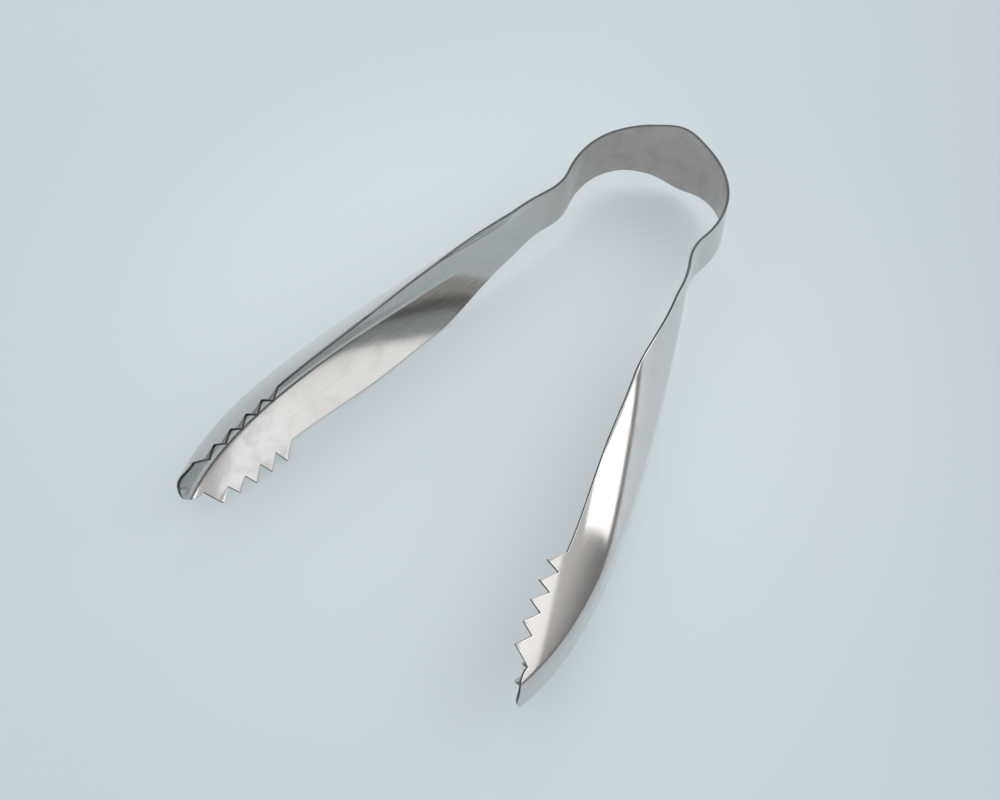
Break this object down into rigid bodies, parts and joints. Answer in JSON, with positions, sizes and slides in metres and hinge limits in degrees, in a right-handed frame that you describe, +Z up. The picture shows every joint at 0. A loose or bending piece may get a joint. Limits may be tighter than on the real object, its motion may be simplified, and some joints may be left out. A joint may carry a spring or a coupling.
{
  "type": "ice tongs",
  "caption": "One-piece sprung steel ice tongs: a round bow, two trough-shaped arms and toothed claws that close on an ice cube when squeezed.",
  "frame": {"origin": "centre of the footprint, on the table that the lower rims of the arms rest on", "axes": "+Y from the claws to the bow, +X towards the right arm, +Z up across the width of the strip, as the tongs lie on their side"},
  "size_m": [0.1094, 0.1706, 0.0312],
  "materials": {
    "bow_steel": "satin, faintly brushed along the strip",
    "arm_steel": "polished outside, finely brushed inside",
    "claw_steel": "polished, with satin wear at the teeth"
  },
  "bodies": {
    "bow": {"bow_crown": "bow_steel", "bow_shoulder_right": "bow_steel", "bow_shoulder_left": "bow_steel"},
    "right_arm": {"bow_flank_right": "bow_steel", "neck_right": "bow_steel", "arm_right": "arm_steel", "claw_right": "claw_steel"},
    "left_arm": {"bow_flank_left": "bow_steel", "neck_left": "bow_steel", "arm_left": "arm_steel", "claw_left": "claw_steel"}
  },
  "joints": [
    {"name": "right_squeeze", "type": "hinge", "parent": "bow", "child": "right_arm", "pos_m": [0.01994, 0.074, 0.0156], "axis": [0, 0, -1], "range_deg": [0, 16.8], "stiffness_Nm_per_rad": 3.5},
    {"name": "left_squeeze", "type": "hinge", "parent": "bow", "child": "left_arm", "pos_m": [-0.01994, 0.074, 0.0156], "axis": [0, 0, 1], "range_deg": [0, 16.8], "stiffness_Nm_per_rad": 3.5}
  ],
  "couplings": [
    {"joint": "left_squeeze", "follows": "right_squeeze", "ratio": 1}
  ]
}
